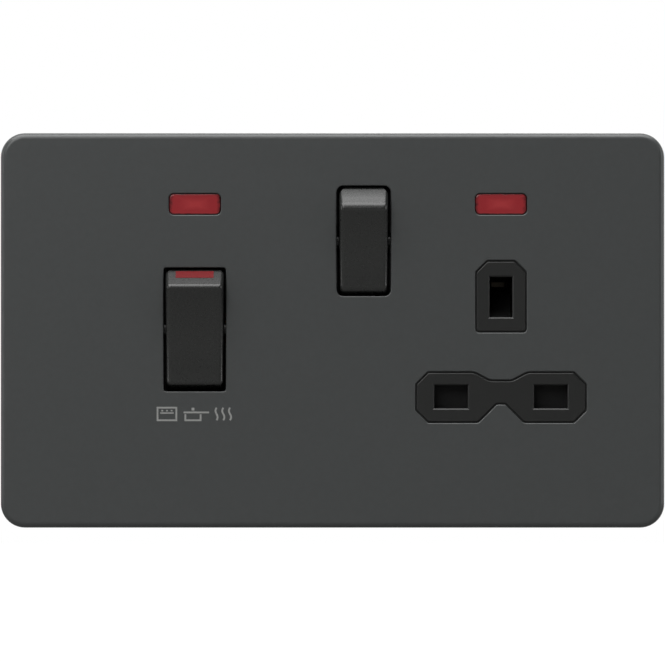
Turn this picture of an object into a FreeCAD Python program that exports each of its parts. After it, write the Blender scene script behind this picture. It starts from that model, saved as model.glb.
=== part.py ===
import FreeCAD, Part
import math
import os

# Cooker control unit: a two-gang wall plate with a 45 A double-pole cooker
# switch, a switched 13 A socket outlet and a red neon for each circuit.
# Millimetres.  X to the right, Z up, the front faces -Y, the wall is y = 0.

V = FreeCAD.Vector
ALONG_X = V(1, 0, 0)
ALONG_Y = V(0, 1, 0)
ALONG_Z = V(0, 0, 1)

# Front plate, measured outwards from the two fixings
FIXING_SPACING = 120.6
FIXING_TO_EDGE = 13.7
PLATE_H = 88.0
PLATE_PROUD = 5.0
PLATE_CORNER_R = 5.4
PLATE_EDGE_R = 1.3
SHEET = 1.0
WINDOW_EDGE_R = 0.25
RIM_GAP = 0.1
NOTCH_W = 12.0
NOTCH_D = 0.9
NOTCH_H = 2.0
GRIP_BEAD_R = 0.6
GRIP_BEAD_L = 9.0
GRIP_BEAD_X = 37.0
GRIP_BEAD_DEPTH = 2.4
GRIP_CLEAR = 0.02

# Moulded frame behind the plate
FRAME_CLEAR = 0.3
FRAME_SKIN = 1.8
FRAME_RIM = 2.0
FRAME_CHAMFER = 0.5
FRAME_RIB_T = 1.2
FRAME_RIB_PITCH = 15.0
FRAME_RIB_SHORT = 0.8
FRAME_RIB_END = 1.0
FIXING_SLOT_W = 4.2
FIXING_SLOT_L = 6.0
FIXING_BOSS_R = 6.0
FIXING_HEAD_W = 7.8
FIXING_FLOOR = 2.0

# Moulded islands of the outlet, seen through the plate
INSERT_SUNK = 0.1
INSERT_GAP = 0.35
INSERT_CHAMFER = 0.3
INSERT_EDGE_R = 0.2
TOWER_DEPTH = 4.5
ISLAND_R = 0.5
BOW_NOTCH_R = 0.8
BOW_SADDLE_R = 3.0
EARTH_ISLAND_HALF = 5.4
EARTH_ISLAND_ABOVE = 7.88
EARTH_ISLAND_BELOW = 7.56
EARTH_ISLAND_CUT = 2.4
BOW_HALF = 18.77
BOW_ABOVE = 5.3
BOW_BELOW = 5.5
BOW_CUT = 2.6
BOW_NOTCH_HALF = 1.07
BOW_NOTCH_FOOT = 5.2
BOW_NOTCH_DEPTH = 4.12
BOW_SADDLE_HALF = 2.5
BOW_SADDLE_FOOT = 5.97
BOW_SADDLE_DEPTH = 1.85
BOW_PAD_INSET = 2.0
BOW_PAD_MARGIN = 0.6

# Housing that goes into the wall box, measured outwards from what it holds
LUG_CLEAR = 0.7
LUG_RECESS_D = 4.4
LUG_RECESS_H = 16.0
TERMINAL_WALL_CLEAR = 0.8
HOUSING_WALL = 1.6
HOUSING_BACK = 2.0
HOUSING_CORNER_R = 1.2
HOUSING_EDGE_R = 0.5
BACK_SPACE = 4.5
HOUSING_SCREW_INSET = 4.5
COLUMN_END = 6.0
SCREW_SHANK_R = 1.45
SCREW_TIP_GAP = 1.2
SCREW_TIP_EASE = 0.4
SCREW_HEAD_EASE = 0.35
SCREW_HEAD_R = 2.6
SCREW_HEAD_T = 1.7
SCREW_CLEAR = 0.15
SCREW_BITE = 0.02
SCREW_RECESS_L = 3.0
SCREW_RECESS_W = 0.8
SCREW_RECESS_D = 1.0
ROOT = 0.5
POST_R = 1.5
BROAD_POST_R = 2.2
FULCRUM_POST_R = 1.2
STRAP_POST_DROP = 1.0
LEG_POST_Z = 7.0
PARTITION_T = 1.6
THIN_PARTITION_T = 1.0
PARTITION_GAP = 3.2
PASS_CLEAR = 0.6

# Neon lenses, lamps and their resistors
LENS_W = 11.7
LENS_H = 4.8
LENS_R = 1.2
LENS_Z = 28.15
LENS_CLEAR = 0.1
LENS_SUNK = 0.25
LENS_EDGE_R = 0.3
LENS_FLANGE = 1.0
LENS_FLANGE_T = 0.8
LENS_LEDGE = 0.55
LAMP_R = 2.0
LAMP_L = 10.0
LAMP_FORK = 3.6
RESISTOR_R = 1.1
RESISTOR_L = 6.4
RESISTOR_FORK = 2.2
RESISTOR_DROP = 5.0
RESISTOR_EDGE_R = 0.35
LEAD_R = 0.25
LEAD_L = 2.5
LEAD_APART = 1.6
CRADLE_CLEAR = 0.05
CRADLE_LIFT = 0.1
CRADLE_GRIP = 0.6
CRADLE_MOUTH = 0.85
CRADLE_T = 1.2
CRADLE_MARGIN = 1.0

# Cooker rocker and its window
COOKER_INSET = 29.6
COOKER_Z = 0.2
COOKER_WINDOW_W = 13.9
COOKER_WINDOW_H = 27.6
COOKER_WINDOW_R = 0.65
COOKER_SIDE_CLEAR = 0.35
COOKER_TILT = 10.0
COOKER_PIVOT_DEPTH = 4.85
COOKER_RIDGE_R = 0.9
COOKER_CORNER_R = 1.6
COOKER_DISH = 1.2
COOKER_TUBE_X = 4.1
COOKER_TUBE_R = 2.3
COOKER_TIP_REACH = 12.0
COOKER_TIP_R = 1.6
COOKER_ARM_W = 4.8
COOKER_ARM_T = 1.7
COOKER_ARM_TILT = 9.0
COOKER_CONTACT_Z = 10.5
COOKER_DOME_R = 2.2
COOKER_NOSE_R = 0.8

# Socket rocker and its window
SWITCH_X = 6.95
SWITCH_Z = 19.95
SWITCH_WINDOW_W = 12.1
SWITCH_WINDOW_H = 24.6
SWITCH_WINDOW_R = 1.5
SWITCH_SIDE_CLEAR = 0.45
SWITCH_TILT = 12.0
SWITCH_PIVOT_DEPTH = 5.85
SWITCH_RIDGE_R = 1.7
SWITCH_CORNER_R = 2.4
SWITCH_DISH = 1.1
SWITCH_TUBE_X = 3.4
SWITCH_TUBE_R = 2.0
SWITCH_TIP_REACH = 10.5
SWITCH_TIP_R = 1.4
SWITCH_ARM_W = 4.0
SWITCH_ARM_T = 1.4
SWITCH_ARM_TILT = 9.5
SWITCH_CONTACT_Z = 9.0
SWITCH_DOME_R = 1.8
SWITCH_NOSE_R = 0.6

# What both switches share
ROCKER_END_GAP = 0.75
ROCKER_RIDGE_INSET = 2.7
ROCKER_RIDGE_RISE = 2.6
ROCKER_DRAFT = 0.35
ROCKER_WALL = 1.2
ROCKER_SKIRT = 3.0
ROCKER_EDGE_R = 0.9
ROCKER_HOLLOW_EASE = 0.3
ROCKER_TOP_T = 1.5
ROCKER_SIDE_T = 0.85
CHEEK_CLEAR = 0.4
CHEEK_T = 2.0
WELL_END_GAP = 0.5
WELL_R = 0.8
WELL_FLOOR_GAP = 0.4
WELL_FLOOR_T = 1.2
TUBE_SLOT_CLEAR = 0.4
TRUNNION_R = 1.5
TRUNNION_L = 2.0
BEARING_CLEAR = 0.05
PLUNGER_CLEAR = 0.05
PLUNGER_SHOW = 3.0
PLUNGER_L = 7.5
SPIGOT_L = 1.5
SPIGOT_SHARE = 0.45
SPRING_L = 5.5
SPRING_WIRE = 0.45
SPRING_TURNS = 4
SPRING_CLEAR = 0.1
ARM_GAP = 0.1
ARM_TAIL = 7.0
ARM_HEAD = 2.6
ARM_R = 0.8
NOSE_CLEAR = 0.08
DOME_SHOW = 1.5
DOME_ROOT = 0.5
CONTACT_GAP = 0.02
RIVET_H = 1.1
RIVET_RIM = 0.2
RIVET_EDGE_R = 0.3
FLAG_W = 8.45
FLAG_H = 2.55
FLAG_START = 0.12
FLAG_T = 0.5
FLAG_PROUD = 0.04

# Straps, bus bars and terminals
STRAP_T = 1.2
STRAP_R = 0.6
BEND_R = 0.4
BEND_LENGTH = 4.0
BUS_T = 1.0
BUS_W = 3.0
BUS_JOG = 1.7
BUS_LINE_Z = -8.0
BUS_NEUTRAL_Z = -13.0
BUS_START = 1.0
BUS_PAST = 2.5
TERMINAL_X = 11.5
TERMINAL_Z = 24.8
TERMINAL_W = 10.0
TERMINAL_H = 12.0
TERMINAL_D = 9.0
TERMINAL_CHAMFER = 0.6
TERMINAL_BORE_R = 3.0
TERMINAL_FLOOR = 1.9
TERMINAL_SCREW_R = 2.0
TERMINAL_SCREW_CLEAR = 0.1
TERMINAL_HEAD_R = 3.2
TERMINAL_HEAD_T = 2.0
TERMINAL_HEAD_PROUD = 0.5
DRIVER_SLOT_W = 0.9
DRIVER_SLOT_D = 1.0
SHROUD_CLEAR = 0.4
SHROUD_T = 1.5
FOOT_INSET = 0.5
FOOT_MARGIN = 0.8
BAY_MARGIN = 2.0
BAY_SIDE = 1.6
EARTH_BLOCK_X = 12.5
EARTH_BLOCK_H = 11.0
EARTH_BORE_PITCH = 9.0
EARTH_BORE_MARGIN = 4.5
EARTH_STRAP_W = 6.0

# Socket outlet: pin openings, contacts and the sprung shutter
OUTLET_INSET = 22.75
OUTLET_Z = -14.8
PIN_PITCH = 22.23
LIVE_PIN_W = 7.5
LIVE_PIN_H = 5.17
EARTH_PIN_W = 5.1
EARTH_PIN_H = 9.0
JAW_GAP = 3.6
JAW_T = 0.8
JAW_FLARE = 1.1
JAW_FLARE_L = 1.6
JAW_NARROW = 0.5
JAW_FRONT = 2.2
EARTH_JAW_FRONT = 8.0
EARTH_JAW_NARROW = 2.0
STRIP_W = 3.2
STRIP_JOG = 2.9
NEUTRAL_LEG_INSET = 2.8
LINE_LEG_INSET = 3.0
SHUTTER_T = 1.8
SHUTTER_CLEAR = 0.1
SHUTTER_W = 31.0
SHUTTER_H = 7.0
SHUTTER_R = 0.8
SHUTTER_TRAVEL = 6.5
RAMP_W = 4.6
RAMP_INSET = 0.3
RAMP_LIP = 0.8
RAMP_WEB = 2.4
RAIL_CLEAR = 0.2
RAIL_T = 1.5
RAIL_LIP = 1.0
RAIL_SPARE = 0.5
RETURN_SPRING_R = 1.35
RETURN_SPRING_WIRE = 0.5
RETURN_SPRING_TURNS = 6
RETURN_SPRING_L = 16.0
RETURN_SPRING_ROOM = 4.2
SPRING_SEAT_W = 5.2
SPRING_SEAT_T = 1.2
SPRING_SEAT_DEPTH = 4.4

# Leaf that earths the plate
CLIP_W = 6.0
CLIP_H = 9.0
CLIP_GAP = 1.5
CLIP_LEAF_T = 0.4
CLIP_POCKET = 0.6
CLIP_CROWN_R = 2.0
CLIP_CROWN_INSET = 1.0


def block(x0, x1, y0, y1, z0, z1):
    """Box between two opposite corners."""
    size = V(abs(x1 - x0), abs(y1 - y0), abs(z1 - z0))
    return Part.makeBox(size.x, size.y, size.z, V(min(x0, x1), min(y0, y1), min(z0, z1)))


def slab(x, z, w, h, y0, y1):
    """Box centred on (x, z), from y0 back to y1."""
    return block(x - w / 2, x + w / 2, y0, y1, z - h / 2, z + h / 2)


def rod(x, z, r, y0, y1):
    """Round bar along Y."""
    return Part.makeCylinder(r, y1 - y0, V(x, y0, z), ALONG_Y)


def cross_rod(x, y, z, r, length):
    """Round bar along X, centred on x."""
    return Part.makeCylinder(r, length, V(x - length / 2, y, z), ALONG_X)


def wire_of(corners, place):
    """Closed wire through corners (a, b, corner radius); place puts (a, b) in space."""
    runs = []
    count = len(corners)
    for i in range(count):
        a, b, r = corners[i]
        before = corners[i - 1]
        after = corners[(i + 1) % count]
        here = V(a, b, 0)
        back = V(before[0], before[1], 0).sub(here).normalize()
        ahead = V(after[0], after[1], 0).sub(here).normalize()
        if r <= 0:
            runs.append((here, None, here))
            continue
        half = back.getAngle(ahead) / 2
        inward = back.add(ahead).normalize()
        cut = r / math.tan(half)
        middle = here.add(inward * (r / math.sin(half) - r))
        runs.append((here.add(back * cut), middle, here.add(ahead * cut)))
    edges = []
    for i in range(count):
        enter, middle, leave = runs[i]
        following = runs[(i + 1) % count][0]
        if middle is not None:
            arc = Part.Arc(place(enter.x, enter.y), place(middle.x, middle.y), place(leave.x, leave.y))
            edges.append(arc.toShape())
        if leave.distanceToPoint(following) > 1e-6:
            edges.append(Part.makeLine(place(leave.x, leave.y), place(following.x, following.y)))
    return Part.Wire(edges)


def front_face(corners, y):
    """Flat face in the plane y, corners given as (x, z, radius)."""
    return Part.Face(wire_of(corners, lambda a, b: V(a, y, b)))


def prism(corners, y0, y1):
    """Plate with the outline corners (x, z, radius), from y0 back to y1."""
    return front_face(corners, y0).extrude(V(0, y1 - y0, 0))


def side_prism(corners, x0, x1):
    """Bar with the outline corners (y, z, radius), from x0 to x1."""
    return Part.Face(wire_of(corners, lambda a, b: V(x0, a, b))).extrude(V(x1 - x0, 0, 0))


def top_prism(corners, z0, z1):
    """Bar with the outline corners (x, y, radius), from z0 up to z1."""
    return Part.Face(wire_of(corners, lambda a, b: V(a, b, z0))).extrude(V(0, 0, z1 - z0))


def rectangle(x, z, w, h, r):
    """Corners of a rectangle with rounded corners."""
    signs = [(-1, -1), (-1, 1), (1, 1), (1, -1)]
    return [(x + sx * w / 2, z + sz * h / 2, r) for sx, sz in signs]


def rounded_slab(x, z, w, h, r, y0, y1):
    """Box centred on (x, z) with its four long edges rounded."""
    return prism(rectangle(x, z, w, h, r), y0, y1)


def slot(x, z, w, length, y0, y1):
    """Slot with round ends along X."""
    return rounded_slab(x, z, length, w, w / 2 - 0.0005, y0, y1)


def bent(path, t, bend):
    """Corners of a strip t thick on the left of path, bent to an inside radius."""
    near = []
    far = []
    for i, (a, b) in enumerate(path):
        here = V(a, b, 0)
        runs = []
        if i > 0:
            runs.append(here.sub(V(*path[i - 1], 0)).normalize())
        if i < len(path) - 1:
            runs.append(V(*path[i + 1], 0).sub(here).normalize())
        sides = [V(-run.y, run.x, 0) for run in runs]
        turn = runs[0].cross(runs[-1]).z
        shift = (sides[0] + sides[-1]) * (t / (1 + sides[0].dot(sides[-1])))
        near_r = 0
        far_r = 0
        if abs(turn) > 1e-6:
            near_r = bend + t if turn > 0 else bend
            far_r = bend if turn > 0 else bend + t
        near.append((a, b, near_r))
        far.append((a + shift.x, b + shift.y, far_r))
    return near + far[::-1]


def edges_at(shape, y):
    """Edges that lie in the plane y."""
    found = []
    for edge in shape.Edges:
        box = edge.BoundBox
        if abs(box.YMin - y) < 1e-4 and abs(box.YMax - y) < 1e-4:
            found.append(edge)
    return found


def joined(shapes):
    """One solid from touching or overlapping ones."""
    return shapes[0].fuse(shapes[1:]).removeSplitter()


def coil(origin, axis, mean_r, length, turns, wire):
    """Compression spring of square wire, from origin along axis."""
    pitch = (length - wire) / turns
    path = Part.Wire(Part.makeHelix(pitch, pitch * turns, mean_r).Edges)
    h = wire / 2
    corners = [V(mean_r - h, 0, -h), V(mean_r + h, 0, -h), V(mean_r + h, 0, h), V(mean_r - h, 0, h)]
    section = Part.makePolygon(corners + corners[:1])
    spring = path.makePipeShell([section], True, True)
    spring.translate(V(0, 0, h))
    spring.Placement = FreeCAD.Placement(origin, FreeCAD.Rotation(ALONG_Z, axis)).multiply(spring.Placement)
    return spring


# Planes in Y that everything else hangs from
FACE_Y = -PLATE_PROUD
SKIN_FRONT = FACE_Y + SHEET
SKIN_BACK = SKIN_FRONT + FRAME_SKIN
SKIN_ROOT = SKIN_BACK - ROOT
INSERT_FRONT = FACE_Y + INSERT_SUNK
TOWER_BACK = INSERT_FRONT + TOWER_DEPTH

# Places across the unit, from the fixings inwards
FIXING_X = FIXING_SPACING / 2
PLATE_W = 2 * (FIXING_X + FIXING_TO_EDGE)
FRAME_W = PLATE_W - 2 * SHEET - 2 * FRAME_CLEAR
FRAME_H = PLATE_H - 2 * SHEET - 2 * FRAME_CLEAR
FRAME_R = PLATE_CORNER_R - SHEET - FRAME_CLEAR
COOKER_X = COOKER_INSET - FIXING_X
OUTLET_X = FIXING_X - OUTLET_INSET
LENSES = [COOKER_X, OUTLET_X]


class Switch:
    """One double-pole rocker switch: what follows from its driving sizes."""

    def __init__(self, x, z, window, tilt, depth, rocker, tube, arm, contact):
        self.x = x
        self.z = z
        self.window_w, self.window_h, self.window_r, side_clear = window
        self.tilt = tilt
        self.pivot = FACE_Y + depth
        self.ridge_r, self.corner_r, self.dish = rocker
        self.tube_x, self.tube_r, self.reach, self.tip_r = tube
        self.arm_w, self.arm_t, self.arm_tilt = arm
        self.contact_z, self.dome_r, self.nose_r = contact
        # rocker section, as heights u from the pivot and depths v in front of it
        end = self.window_h / 2 - ROCKER_END_GAP
        self.skirt_r = math.hypot(depth, end)
        corner = math.atan2(depth, end) - math.radians(tilt)
        self.base_u = self.skirt_r * math.cos(corner)
        self.base_v = self.skirt_r * math.sin(corner)
        self.skirt_u = math.sqrt(self.skirt_r ** 2 - ROCKER_SKIRT ** 2)
        self.ridge_u = self.window_h / 2 - ROCKER_RIDGE_INSET
        self.ridge_v = depth + ROCKER_RIDGE_RISE
        self.roof_v = self.ridge_v - self.dish - ROCKER_TOP_T
        self.half_w = self.window_w / 2 - side_clear
        self.cap_w = self.half_w - ROCKER_DRAFT
        self.cheek = self.half_w + CHEEK_CLEAR
        self.bore_r = self.tip_r + PLUNGER_CLEAR
        # well floor, just behind the reach of the tilting skirt
        lean = math.radians(tilt)
        swing = ROCKER_SKIRT * math.cos(lean) + self.skirt_u * math.sin(lean)
        self.floor = self.pivot + swing + WELL_FLOOR_GAP
        self.well_back = self.floor + WELL_FLOOR_T
        reach = self.well_back - self.pivot
        self.tube_sweep = reach * math.tan(lean) + self.tube_r / math.cos(lean)
        # contact arm and the fixed contact that its dome meets
        self.hinge = self.pivot + self.reach + self.tip_r + ARM_GAP + self.arm_t
        lean = math.radians(self.arm_tilt)
        dome_back = DOME_SHOW - self.dome_r
        self.dome_y = self.hinge + dome_back * math.cos(lean) + self.contact_z * math.sin(lean)
        self.dome_z = z + self.contact_z * math.cos(lean) - dome_back * math.sin(lean)
        self.fixed_y = self.dome_y + self.dome_r + CONTACT_GAP

    def pole_x(self, side):
        """Middle of one pole's tube, plunger and arm."""
        return self.x + side * self.tube_x

    def point(self, u, v):
        """(y, z) of a point u up the rocker and v in front of its pivot, rocker level."""
        return (self.pivot - v, self.z + u)

    def tipped(self, shape):
        """Turn a piece of the rocker to its rest, upper end out."""
        turned = shape.copy()
        turned.rotate(V(self.x, self.pivot, self.z), ALONG_X, self.tilt)
        return turned


COOKER = Switch(
    COOKER_X,
    COOKER_Z,
    (COOKER_WINDOW_W, COOKER_WINDOW_H, COOKER_WINDOW_R, COOKER_SIDE_CLEAR),
    COOKER_TILT,
    COOKER_PIVOT_DEPTH,
    (COOKER_RIDGE_R, COOKER_CORNER_R, COOKER_DISH),
    (COOKER_TUBE_X, COOKER_TUBE_R, COOKER_TIP_REACH, COOKER_TIP_R),
    (COOKER_ARM_W, COOKER_ARM_T, COOKER_ARM_TILT),
    (COOKER_CONTACT_Z, COOKER_DOME_R, COOKER_NOSE_R),
)
SWITCH = Switch(
    SWITCH_X,
    SWITCH_Z,
    (SWITCH_WINDOW_W, SWITCH_WINDOW_H, SWITCH_WINDOW_R, SWITCH_SIDE_CLEAR),
    SWITCH_TILT,
    SWITCH_PIVOT_DEPTH,
    (SWITCH_RIDGE_R, SWITCH_CORNER_R, SWITCH_DISH),
    (SWITCH_TUBE_X, SWITCH_TUBE_R, SWITCH_TIP_REACH, SWITCH_TIP_R),
    (SWITCH_ARM_W, SWITCH_ARM_T, SWITCH_ARM_TILT),
    (SWITCH_CONTACT_Z, SWITCH_DOME_R, SWITCH_NOSE_R),
)

# Layers behind the switches
STRAP_Y = COOKER.fixed_y + RIVET_H
STRAP_BACK = STRAP_Y + STRAP_T
STRIP_BACK = STRAP_Y + JAW_T
BUS_BACK = STRAP_BACK + BUS_T
REAR_Y = STRAP_Y + BACK_SPACE
HOUSING_END = REAR_Y + HOUSING_BACK
BORE_Y = STRAP_Y - TERMINAL_FLOOR - TERMINAL_BORE_R
BAY_Y = BORE_Y - TERMINAL_BORE_R - BAY_MARGIN

# Outlet: three pins and the runs of its contacts
EARTH_Z = OUTLET_Z + PIN_PITCH
LINE_X = OUTLET_X + PIN_PITCH / 2
NEUTRAL_X = OUTLET_X - PIN_PITCH / 2
LINE_LEG = LINE_X - LINE_LEG_INSET
NEUTRAL_LEG = NEUTRAL_X - NEUTRAL_LEG_INSET
LINE_POLE = SWITCH.pole_x(-1)
NEUTRAL_POLE = SWITCH.pole_x(1)
PIN_OPENINGS = [
    (OUTLET_X, EARTH_Z, EARTH_PIN_W, EARTH_PIN_H),
    (LINE_X, OUTLET_Z, LIVE_PIN_W, LIVE_PIN_H),
    (NEUTRAL_X, OUTLET_Z, LIVE_PIN_W, LIVE_PIN_H),
]
RETURN_SPRING_TOP = OUTLET_Z + SHUTTER_H / 2 - SPRING_SEAT_T
RETURN_SPRING_FLOOR = RETURN_SPRING_TOP - RETURN_SPRING_L

# Terminals: supply below the cooker switch, load above it, line to the right
COOKER_TERMINALS = [
    (COOKER_X + side * TERMINAL_X, COOKER_Z + end * TERMINAL_Z)
    for side in (1, -1)
    for end in (-1, 1)
]
TERMINALS_LOW = COOKER_Z - TERMINAL_Z - TERMINAL_H / 2
TERMINALS_TOP = COOKER_Z + TERMINAL_Z + TERMINAL_H / 2
EARTH_BLOCK_W = EARTH_BORE_PITCH + 2 * EARTH_BORE_MARGIN
EARTH_BLOCK_Z = TERMINALS_LOW + EARTH_BLOCK_H / 2
EARTH_TERMINALS = [
    (EARTH_BLOCK_X + side * EARTH_BORE_PITCH / 2, EARTH_BLOCK_Z) for side in (-1, 1)
]

# Plan of the housing, round the terminals and between the fixing bosses
HOUSING_TOP = TERMINALS_TOP + TERMINAL_WALL_CLEAR + HOUSING_WALL
HOUSING_LOW = TERMINALS_LOW - TERMINAL_WALL_CLEAR - HOUSING_WALL
HOUSING_WAIST = FIXING_X - FIXING_BOSS_R - LUG_CLEAR
HOUSING_HALF = HOUSING_WAIST + LUG_RECESS_D
HOUSING_SCREWS = [
    (side * (HOUSING_HALF - HOUSING_SCREW_INSET), z)
    for side in (-1, 1)
    for z in (HOUSING_LOW + HOUSING_SCREW_INSET, HOUSING_TOP - HOUSING_SCREW_INSET)
]
COLUMN_R = HOUSING_SCREW_INSET - HOUSING_WALL
SCREW_TIP_Y = SKIN_BACK + SCREW_TIP_GAP

# Earthing leaf, above the right-hand fixing
CLIP_Z = FIXING_BOSS_R + CLIP_GAP + CLIP_H / 2


def earth_island():
    """Outline of the island round the earth opening: its top corners are cut off."""
    left = OUTLET_X - EARTH_ISLAND_HALF
    top = EARTH_Z + EARTH_ISLAND_ABOVE
    low = EARTH_Z - EARTH_ISLAND_BELOW
    cut = EARTH_ISLAND_CUT
    side = [(left, low), (left, top - cut), (left + cut, top)]
    mirrored = [(2 * OUTLET_X - x, z) for x, z in reversed(side)]
    return [(x, z, ISLAND_R) for x, z in side + mirrored]


def bow_island():
    """Outline of the bow-tie island round the line and neutral openings."""
    top = BOW_ABOVE
    low = -BOW_BELOW
    right = [
        (BOW_NOTCH_HALF, low + BOW_NOTCH_DEPTH, BOW_NOTCH_R),
        (BOW_NOTCH_FOOT, low, BOW_NOTCH_R),
        (BOW_HALF - BOW_CUT, low, ISLAND_R),
        (BOW_HALF, low + BOW_CUT, ISLAND_R),
        (BOW_HALF, top - BOW_CUT, ISLAND_R),
        (BOW_HALF - BOW_CUT, top, ISLAND_R),
        (BOW_SADDLE_FOOT, top, BOW_SADDLE_R),
        (BOW_SADDLE_HALF, top - BOW_SADDLE_DEPTH, BOW_SADDLE_R),
    ]
    left = [(-a, b, r) for a, b, r in reversed(right)]
    return [(OUTLET_X + a, OUTLET_Z + b, r) for a, b, r in right + left]


def front_plate():
    """Pressed plate that hides the fixings and pulls off forwards."""
    shell = rounded_slab(0, 0, PLATE_W, PLATE_H, PLATE_CORNER_R, FACE_Y, -RIM_GAP)
    shell = shell.makeFillet(PLATE_EDGE_R, edges_at(shell, FACE_Y))
    inside_w = PLATE_W - 2 * SHEET
    inside_h = PLATE_H - 2 * SHEET
    hollow = rounded_slab(0, 0, inside_w, inside_h, PLATE_CORNER_R - SHEET, SKIN_FRONT, SHEET)
    hollow = hollow.makeFillet(0.9 * FRAME_CLEAR, edges_at(hollow, SKIN_FRONT))
    y0 = FACE_Y - SHEET
    y1 = SKIN_FRONT + SHEET
    windows = []
    for s in (COOKER, SWITCH):
        windows.append(rounded_slab(s.x, s.z, s.window_w, s.window_h, s.window_r, y0, y1))
    for x in LENSES:
        windows.append(rounded_slab(x, LENS_Z, LENS_W, LENS_H, LENS_R, y0, y1))
    for outline in (earth_island(), bow_island()):
        grown = front_face(outline, y0).makeOffset2D(INSERT_GAP)
        windows.append(grown.extrude(V(0, y1 - y0, 0)))
    shell = shell.cut([hollow] + windows)
    rims = []
    for edge in edges_at(shell, FACE_Y):
        box = edge.BoundBox
        inside_x = max(abs(box.XMin), abs(box.XMax)) < PLATE_W / 2 - 1.1 * PLATE_EDGE_R
        inside_z = max(abs(box.ZMin), abs(box.ZMax)) < PLATE_H / 2 - 1.1 * PLATE_EDGE_R
        if inside_x and inside_z:
            rims.append(edge)
    shell = shell.makeFillet(WINDOW_EDGE_R, rims)
    notch = slab(0, -PLATE_H / 2, NOTCH_W, 2 * NOTCH_H, -RIM_GAP - NOTCH_D, SHEET)
    return shell.cut(notch).fuse(grip_beads(inside_w / 2, inside_h / 2))


def grip_beads(half_w, half_h):
    """Round beads inside the rim of the plate, which pinch the frame."""
    bite = GRIP_BEAD_R - FRAME_CLEAR + GRIP_CLEAR
    y = SKIN_FRONT + GRIP_BEAD_DEPTH
    beads = []
    for side in (-1, 1):
        for x in (-GRIP_BEAD_X, GRIP_BEAD_X):
            beads.append(cross_rod(x, y, side * (half_h + bite), GRIP_BEAD_R, GRIP_BEAD_L))
        start = V(side * (half_w + bite), y, -GRIP_BEAD_L / 2)
        beads.append(Part.makeCylinder(GRIP_BEAD_R, GRIP_BEAD_L, start, ALONG_Z))
    return beads


def cradle(x, z, r, spread):
    """Two forks behind the frame that hold a small round body lying along X."""
    y = SKIN_BACK + r + CRADLE_LIFT
    height = 2 * (r + CRADLE_MARGIN)
    forks = [slab(x + side * spread, z, CRADLE_T, height, SKIN_ROOT, y + CRADLE_GRIP * r) for side in (-1, 1)]
    bed = cross_rod(x, y, z, r + CRADLE_CLEAR, 4 * spread)
    mouth = slab(x, z, 4 * spread, 2 * CRADLE_MOUTH * r, y, y + 2 * r)
    return forks, [bed, mouth]


def pin_mouth(x, z, w, h):
    """Sloping lead-in round a pin opening."""
    rings = []
    for grow, y in ((INSERT_CHAMFER, INSERT_FRONT), (0, INSERT_FRONT + INSERT_CHAMFER)):
        corners = rectangle(x, z, w + 2 * grow, h + 2 * grow, 0)
        rings.append(front_face(corners, y).OuterWire)
    return Part.makeLoft(rings, True, True)


def rocker_well(s):
    """Tub round a rocker, with snap bearings in its cheeks and a slot for each tube in its floor."""
    inner_w = 2 * s.cheek
    inner_h = 2 * (s.skirt_r + WELL_END_GAP)
    outer_w = inner_w + 2 * CHEEK_T
    tub = rounded_slab(s.x, s.z, outer_w, inner_h + 2 * ROCKER_WALL, WELL_R, SKIN_ROOT, s.well_back)
    room = rounded_slab(s.x, s.z, inner_w, inner_h, 0.5 * WELL_R, SKIN_FRONT - SHEET, s.floor)
    bearings = cross_rod(s.x, s.pivot, s.z, TRUNNION_R + BEARING_CLEAR, 2 * outer_w)
    slots = []
    for side in (-1, 1):
        w = 2 * (s.tube_r + TUBE_SLOT_CLEAR)
        h = 2 * (s.tube_sweep + TUBE_SLOT_CLEAR)
        slots.append(rounded_slab(s.pole_x(side), s.z, w, h, WELL_R, s.floor - ROOT, s.well_back + ROOT))
    return [tub], [room, bearings] + slots


def lens_seat(x):
    """Pocket for the lens flange, a light opening, and cradles for the lamp and its resistor."""
    seat_w = LENS_W + 2 * LENS_FLANGE
    seat_h = LENS_H + 2 * LENS_FLANGE
    front = SKIN_FRONT - SHEET
    pocket = rounded_slab(x, LENS_Z, seat_w, seat_h, LENS_R, front, SKIN_FRONT + LENS_FLANGE_T)
    light_w = LENS_W - 2 * LENS_LEDGE
    light_h = LENS_H - 2 * LENS_LEDGE
    light = rounded_slab(x, LENS_Z, light_w, light_h, LENS_R, front, SKIN_BACK + ROOT)
    lamp_forks, lamp_beds = cradle(x, LENS_Z, LAMP_R, LAMP_FORK)
    forks, beds = cradle(x, LENS_Z - RESISTOR_DROP, RESISTOR_R, RESISTOR_FORK)
    return lamp_forks + forks, [pocket, light] + lamp_beds + beds


def outlet_face():
    """The two islands with their pin openings, on a thick pad that backs them."""
    earth = prism(earth_island(), INSERT_FRONT, TOWER_BACK)
    bow = prism(bow_island(), INSERT_FRONT, SKIN_ROOT)
    adds = [shape.makeFillet(INSERT_EDGE_R, edges_at(shape, INSERT_FRONT)) for shape in (earth, bow)]
    half = BOW_HALF - BOW_PAD_INSET
    low = OUTLET_Z - BOW_BELOW + BOW_PAD_MARGIN
    top = OUTLET_Z + BOW_ABOVE - BOW_PAD_MARGIN
    adds.append(block(OUTLET_X - half, OUTLET_X + half, SKIN_ROOT, TOWER_BACK, low, top))
    cuts = []
    for x, z, w, h in PIN_OPENINGS:
        cuts.append(slab(x, z, w, h, FACE_Y, TOWER_BACK + ROOT))
        cuts.append(pin_mouth(x, z, w, h))
    return adds, cuts


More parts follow.
